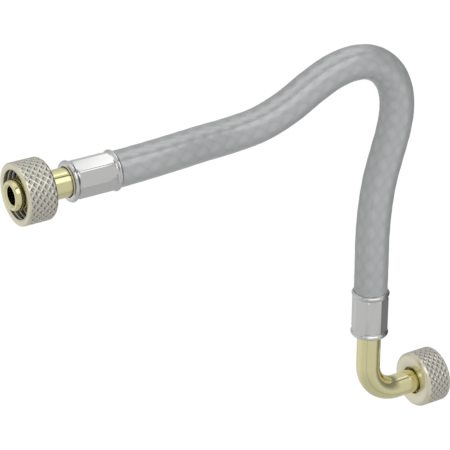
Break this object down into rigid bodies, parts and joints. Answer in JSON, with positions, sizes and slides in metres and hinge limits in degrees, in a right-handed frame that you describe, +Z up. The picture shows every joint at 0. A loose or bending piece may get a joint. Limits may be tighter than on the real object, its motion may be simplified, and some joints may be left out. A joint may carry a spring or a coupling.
{
  "type": "braided flexible hose",
  "caption": "Short braided flexible water hose lying in a loose bend, with crimped ferrules, a straight union nut at one end and an elbow union nut at the other.",
  "frame": {"origin": "on the floor under the middle of the two end fittings", "axes": "+X runs from the straight union's side to the way the elbow union opens, +Y from the elbow union towards the straight union, +Z up from the floor that the hose lies on"},
  "size_m": [0.2002, 0.1695, 0.0236],
  "materials": {
    "nut": "knurled brass with a pale champagne nickel plating",
    "tail": "smooth turned brass with a pale yellow plating",
    "ferrule": "bright pressed stainless steel",
    "braid": "grey satin woven sleeve",
    "liner": "black extruded liner"
  },
  "bodies": {
    "hose": {"straight_tail": "tail", "straight_ferrule": "ferrule", "elbow_tail": "tail", "elbow_ferrule": "ferrule", "hose_braid": "braid", "hose_liner": "liner"},
    "straight_union_nut": {"straight_nut": "nut"},
    "elbow_union_nut": {"elbow_nut": "nut"}
  },
  "joints": [
    {"name": "straight_nut_spin", "type": "hinge", "parent": "hose", "child": "straight_union_nut", "pos_m": [-0.092, 0.0668, 0.0118], "axis": [-1, 0, 0], "continuous": true},
    {"name": "elbow_nut_spin", "type": "hinge", "parent": "hose", "child": "elbow_union_nut", "pos_m": [0.092, -0.0668, 0.0118], "axis": [1, 0, 0], "continuous": true}
  ]
}
